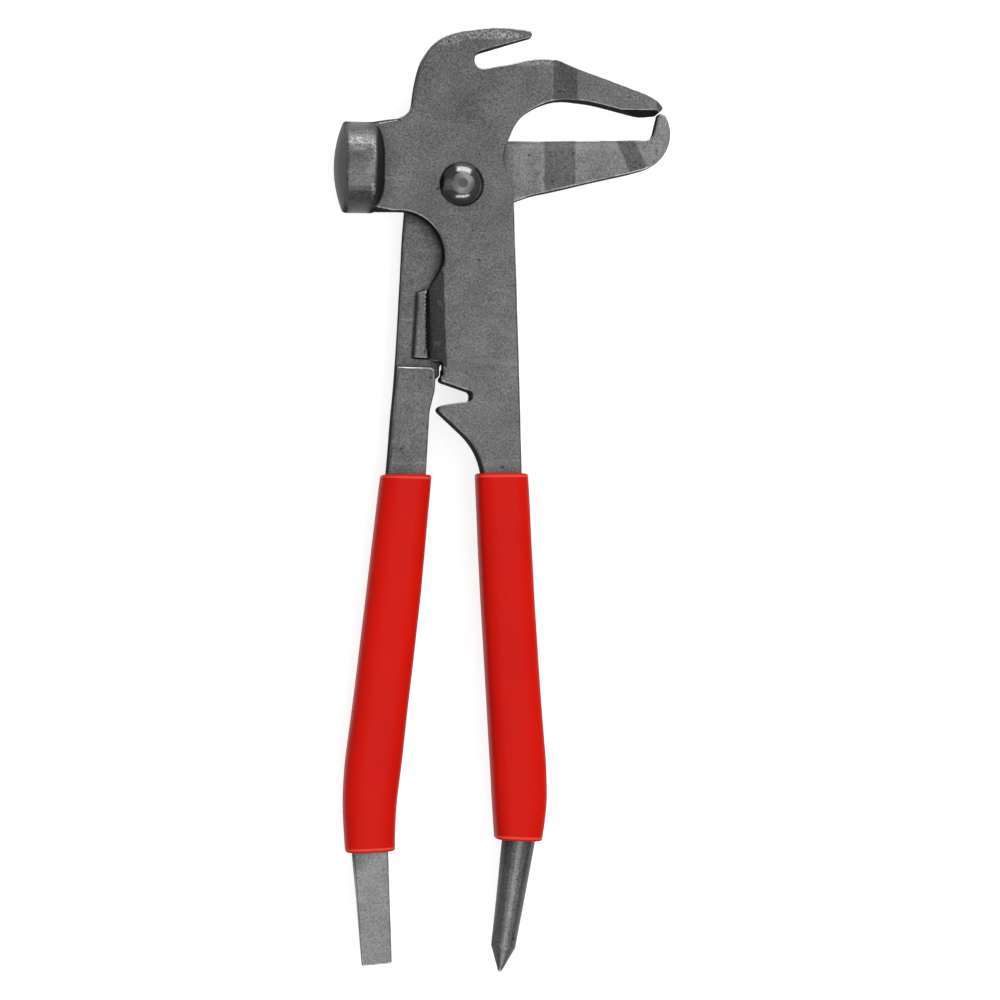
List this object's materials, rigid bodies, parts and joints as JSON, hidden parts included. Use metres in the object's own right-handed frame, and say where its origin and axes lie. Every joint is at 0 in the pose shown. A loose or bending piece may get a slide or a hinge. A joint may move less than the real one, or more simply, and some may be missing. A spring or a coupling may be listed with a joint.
{
  "type": "wheel weight pliers",
  "caption": "Forged pliers for clip-on wheel balance weights: side hammer, claw, hooked jaw, clip cutter, chisel and punch handle ends, red sleeve grips.",
  "frame": {"origin": "middle of the bounding box in plan, at its lowest height, which is the underside of the hammer", "axes": "+Y along the tool from the handle ends to the head, +X from the hammer to the hooked jaw, +Z out of the front face along the rivet"},
  "size_m": [0.0928, 0.2587, 0.025],
  "materials": {
    "forged_steel": "grey phosphated forging, fine mottled grain, satin",
    "forged_steel_light": "grey phosphated forging, a little lighter on the jaw and chisel, satin",
    "rivet_steel": "domed and peened, semi-gloss",
    "red_vinyl": "smooth semi-gloss red vinyl sleeve"
  },
  "bodies": {
    "front_half": {"front_lever": "forged_steel", "pivot_rivet": "rivet_steel", "right_grip": "red_vinyl"},
    "rear_half": {"rear_lever": "forged_steel_light", "left_grip": "red_vinyl"}
  },
  "joints": [
    {"name": "pivot", "type": "hinge", "parent": "front_half", "child": "rear_half", "pos_m": [-0.01195, 0.08612, 0.0125], "axis": [0, 0, -1], "range_deg": [0, 25]}
  ]
}
